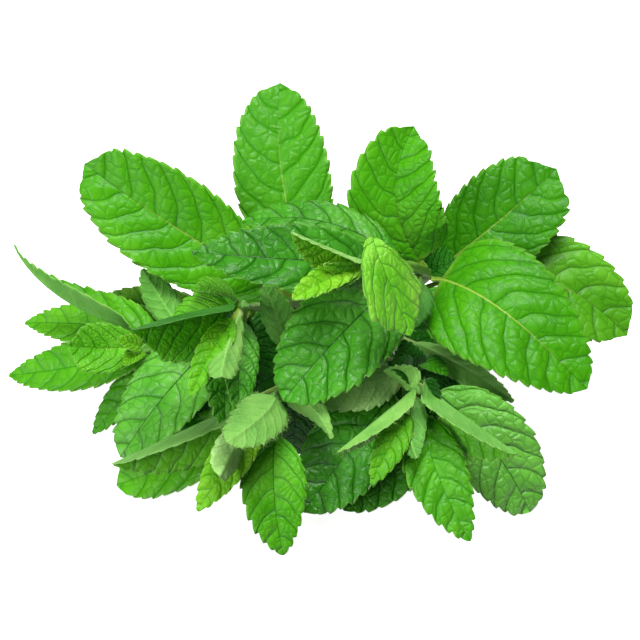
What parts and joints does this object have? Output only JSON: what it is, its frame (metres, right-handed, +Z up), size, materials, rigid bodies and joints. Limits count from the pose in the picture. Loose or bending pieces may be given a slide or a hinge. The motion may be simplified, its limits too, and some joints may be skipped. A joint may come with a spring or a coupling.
{
  "type": "mint sprig",
  "caption": "Cut, branched mint sprig lying on its leaves: square stems, opposite pairs of toothed, quilted oval leaves in a fan, and a tuft of young leaves at each growing tip.",
  "frame": {"origin": "on the surface the sprig lies on, under the middle of its bounding box", "axes": "+Z up from the surface; +X along the fan's width, to the right as seen from the front; -Y towards the front, where the growing tips point; the cut end of the stem lies at +Y"},
  "size_m": [0.2018, 0.1502, 0.0888],
  "materials": {
    "stem": "pale yellow-green, finely ribbed square stem with a soft satin skin",
    "mature_leaf": "satin green upper side quilted between sunken veins, paler matt underside with raised veins",
    "fresh_leaf": "satin light green upper side quilted between sunken veins, paler matt underside",
    "young_leaf": "bright yellow-green, closely wrinkled, with a satin sheen"
  },
  "bodies": {
    "root": {"stem": "stem", "main_leaf_1": "mature_leaf", "main_leaf_2": "mature_leaf", "main_leaf_3": "mature_leaf", "main_leaf_4": "mature_leaf", "main_leaf_5": "mature_leaf", "main_leaf_6": "mature_leaf", "main_leaf_7": "mature_leaf", "main_leaf_8": "mature_leaf", "main_leaf_9": "mature_leaf", "main_leaf_10": "mature_leaf", "main_leaf_11": "mature_leaf", "main_leaf_12": "fresh_leaf", "main_bud": "young_leaf", "left_leaf_1": "fresh_leaf", "left_leaf_2": "mature_leaf", "left_leaf_3": "mature_leaf", "left_leaf_4": "mature_leaf", "left_leaf_5": "mature_leaf", "left_leaf_6": "mature_leaf", "left_bud": "young_leaf", "far_left_leaf_1": "fresh_leaf", "far_left_leaf_2": "fresh_leaf", "far_left_leaf_3": "mature_leaf", "far_left_leaf_4": "mature_leaf", "far_left_leaf_5": "mature_leaf", "far_left_leaf_6": "fresh_leaf", "far_left_leaf_7": "mature_leaf", "far_left_bud": "young_leaf", "low_left_leaf_1": "mature_leaf", "low_left_leaf_2": "mature_leaf", "low_left_leaf_3": "fresh_leaf", "low_left_leaf_4": "mature_leaf", "low_left_leaf_5": "fresh_leaf", "low_left_leaf_6": "mature_leaf", "low_left_bud": "young_leaf", "low_right_leaf_1": "mature_leaf", "low_right_leaf_2": "mature_leaf", "low_right_leaf_3": "mature_leaf", "low_right_leaf_4": "mature_leaf", "low_right_leaf_5": "mature_leaf", "low_right_leaf_6": "mature_leaf", "low_right_leaf_7": "mature_leaf", "low_right_leaf_8": "mature_leaf", "low_right_leaf_9": "fresh_leaf", "low_right_leaf_10": "fresh_leaf", "low_right_bud": "young_leaf"}
  },
  "joints": []
}
